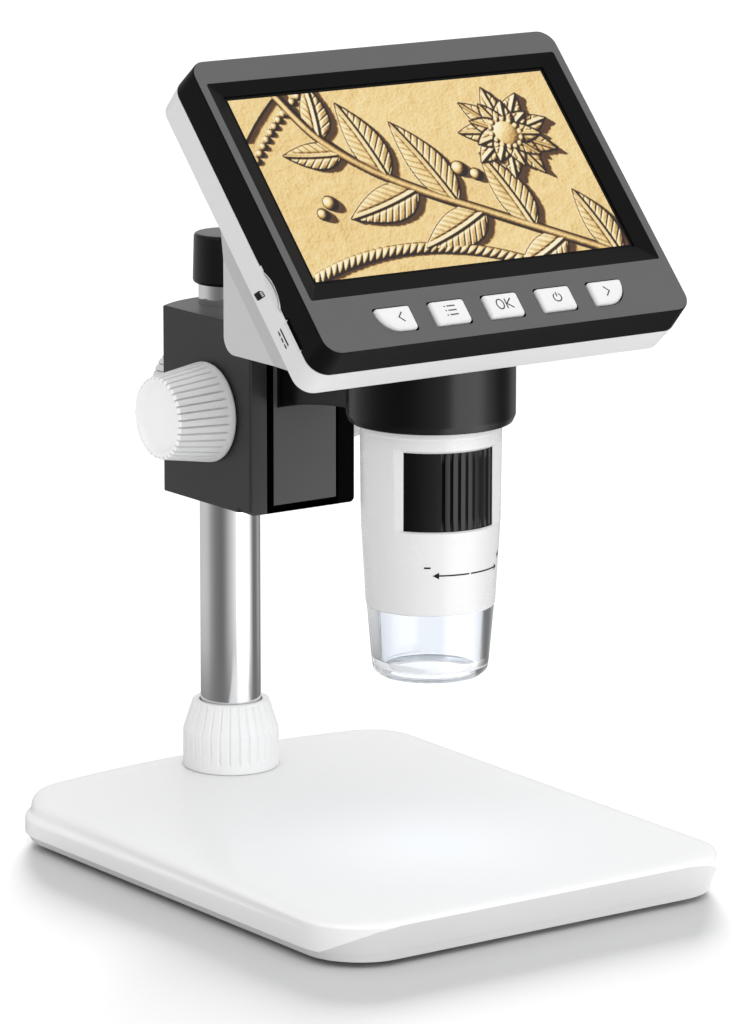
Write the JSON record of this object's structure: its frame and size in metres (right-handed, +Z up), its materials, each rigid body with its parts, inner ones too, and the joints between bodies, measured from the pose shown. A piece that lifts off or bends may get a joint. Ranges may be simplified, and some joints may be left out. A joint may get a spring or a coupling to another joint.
{
  "type": "digital microscope",
  "caption": "Desk microscope with a tilted built-in screen and keys, held in a ring on a rack-focus arm that slides on a pole stand over a flat base.",
  "frame": {"origin": "centre of the object's footprint, on the plane the rubber feet stand on", "axes": "+Z up along the pole, -Y towards the user and the front of the screen, +X to the user's right"},
  "size_m": [0.1232, 0.1583, 0.2104],
  "materials": {
    "white_plastic": "glossy white injection moulding",
    "steel": "plain steel",
    "polished_steel": "polished stainless tube",
    "rubber": "matte black rubber",
    "nylon": "natural nylon",
    "black_plastic": "satin black",
    "carriage_grey": "satin charcoal",
    "bezel_grey": "satin charcoal front",
    "brass": "machined",
    "screen": "lit display",
    "circuit_board": "solder mask green",
    "white_board": "white solder mask",
    "led": "phosphor yellow-white",
    "cell": "shrink wrap",
    "flex": "polyimide",
    "clear_plastic": "clear acrylic",
    "lens_glass": "coated glass"
  },
  "bodies": {
    "base": {"base_shell": "white_plastic", "base_plate": "white_plastic", "base_weight": "steel", "rubber_feet": "rubber", "base_screws": "steel", "pole_socket": "steel", "socket_screws": "steel"},
    "collet": {"collar_collet": "nylon"},
    "nut": {"collar_nut": "white_plastic"},
    "pole": {"pole": "polished_steel", "pole_cap": "black_plastic", "pole_plug": "black_plastic"},
    "housing": {"focus_housing": "black_plastic", "pinion_bushes": "brass", "slide_gibs": "nylon", "clamp_insert": "brass", "stop_screw": "steel"},
    "clamp_pad": {"clamp_pad": "nylon"},
    "clamp_knob": {"clamp_screw": "steel", "clamp_knob": "white_plastic"},
    "focus_drive": {"pinion_shaft": "steel", "pinion_gear": "brass", "left_focus_knob": "white_plastic", "right_focus_knob": "white_plastic", "knob_screws": "steel", "friction_washers": "nylon"},
    "carriage": {"carriage": "carriage_grey", "rack": "brass", "rack_screws": "steel", "ring_arm": "black_plastic", "arm_screws": "steel"},
    "liner": {"ring_liner": "rubber"},
    "microscope": {"front_bezel": "bezel_grey", "rear_shell": "white_plastic", "lcd_panel": "screen", "lcd_tray": "steel", "main_board": "circuit_board", "battery": "cell", "sd_slot": "steel", "power_socket": "steel", "tact_switches": "black_plastic", "shell_screws": "steel", "barrel_shell": "white_plastic", "barrel_screws": "steel", "retainer_ring": "black_plastic", "sensor_board": "circuit_board", "camera_flex": "flex", "led_board": "white_board", "leds": "led", "clear_hood": "clear_plastic"},
    "wheel": {"focus_wheel": "black_plastic"},
    "lens": {"lens_carriage": "black_plastic", "objective_lens": "lens_glass"},
    "key_prev_body": {"key_prev": "white_plastic"},
    "key_menu_body": {"key_menu": "white_plastic"},
    "key_ok_body": {"key_ok": "white_plastic"},
    "key_power_body": {"key_power": "white_plastic"},
    "key_next_body": {"key_next": "white_plastic"}
  },
  "joints": [
    {"name": "collet_rise", "type": "slide", "parent": "base", "child": "collet", "axis": [0, 0, 1], "range_m": [0, 0.0006]},
    {"name": "nut_turn", "type": "hinge", "parent": "collet", "child": "nut", "pos_m": [0, 0.0586, 0.0225], "axis": [0, 0, 1], "range_deg": [0, 90]},
    {"name": "pole_swivel", "type": "hinge", "parent": "base", "child": "pole", "pos_m": [0, 0.0586, 0.08], "axis": [0, 0, 1], "range_deg": [-180, 180]},
    {"name": "housing_height", "type": "slide", "parent": "pole", "child": "housing", "axis": [0, 0, 1], "range_m": [-0.034, 0.004]},
    {"name": "clamp_travel", "type": "slide", "parent": "housing", "child": "clamp_pad", "axis": [0, 1, 0], "range_m": [0, 0.0008]},
    {"name": "clamp_turn", "type": "hinge", "parent": "clamp_pad", "child": "clamp_knob", "pos_m": [0, 0.072, 0.1125], "axis": [0, 1, 0], "range_deg": [0, 360]},
    {"name": "focus_slide", "type": "slide", "parent": "housing", "child": "carriage", "axis": [0, 0, 1], "range_m": [-0.0035, 0.018]},
    {"name": "focus_turn", "type": "hinge", "parent": "housing", "child": "focus_drive", "pos_m": [0, 0.0434, 0.1125], "axis": [1, 0, 0], "range_deg": [-210, 43]},
    {"name": "scope_turn", "type": "hinge", "parent": "carriage", "child": "liner", "pos_m": [0, -0.0299, 0.13], "axis": [0, 0, 1], "range_deg": [-90, 90]},
    {"name": "scope_lift", "type": "slide", "parent": "liner", "child": "microscope", "axis": [0, 0, 1], "range_m": [0, 0.09]},
    {"name": "wheel_turn", "type": "hinge", "parent": "microscope", "child": "wheel", "pos_m": [0, -0.0299, 0.105], "axis": [0, 0, 1], "range_deg": [-150, 150]},
    {"name": "lens_travel", "type": "slide", "parent": "microscope", "child": "lens", "axis": [0, 0, 1], "range_m": [-0.003, 0.003]},
    {"name": "key_prev_press", "type": "slide", "parent": "microscope", "child": "key_prev_body", "axis": [0, 0.729, -0.6845], "range_m": [0, 0.0006], "stiffness_N_per_m": 400},
    {"name": "key_menu_press", "type": "slide", "parent": "microscope", "child": "key_menu_body", "axis": [0, 0.729, -0.6845], "range_m": [0, 0.0006], "stiffness_N_per_m": 400},
    {"name": "key_ok_press", "type": "slide", "parent": "microscope", "child": "key_ok_body", "axis": [0, 0.729, -0.6845], "range_m": [0, 0.0006], "stiffness_N_per_m": 400},
    {"name": "key_power_press", "type": "slide", "parent": "microscope", "child": "key_power_body", "axis": [0, 0.729, -0.6845], "range_m": [0, 0.0006], "stiffness_N_per_m": 400},
    {"name": "key_next_press", "type": "slide", "parent": "microscope", "child": "key_next_body", "axis": [0, 0.729, -0.6845], "range_m": [0, 0.0006], "stiffness_N_per_m": 400}
  ],
  "couplings": [
    {"joint": "collet_rise", "follows": "nut_turn", "m_per_rad": 0.00031831},
    {"joint": "clamp_travel", "follows": "clamp_turn", "m_per_rad": 0.00011141},
    {"joint": "focus_turn", "follows": "focus_slide", "rad_per_m": -200},
    {"joint": "lens_travel", "follows": "wheel_turn", "m_per_rad": 0.0011459}
  ]
}
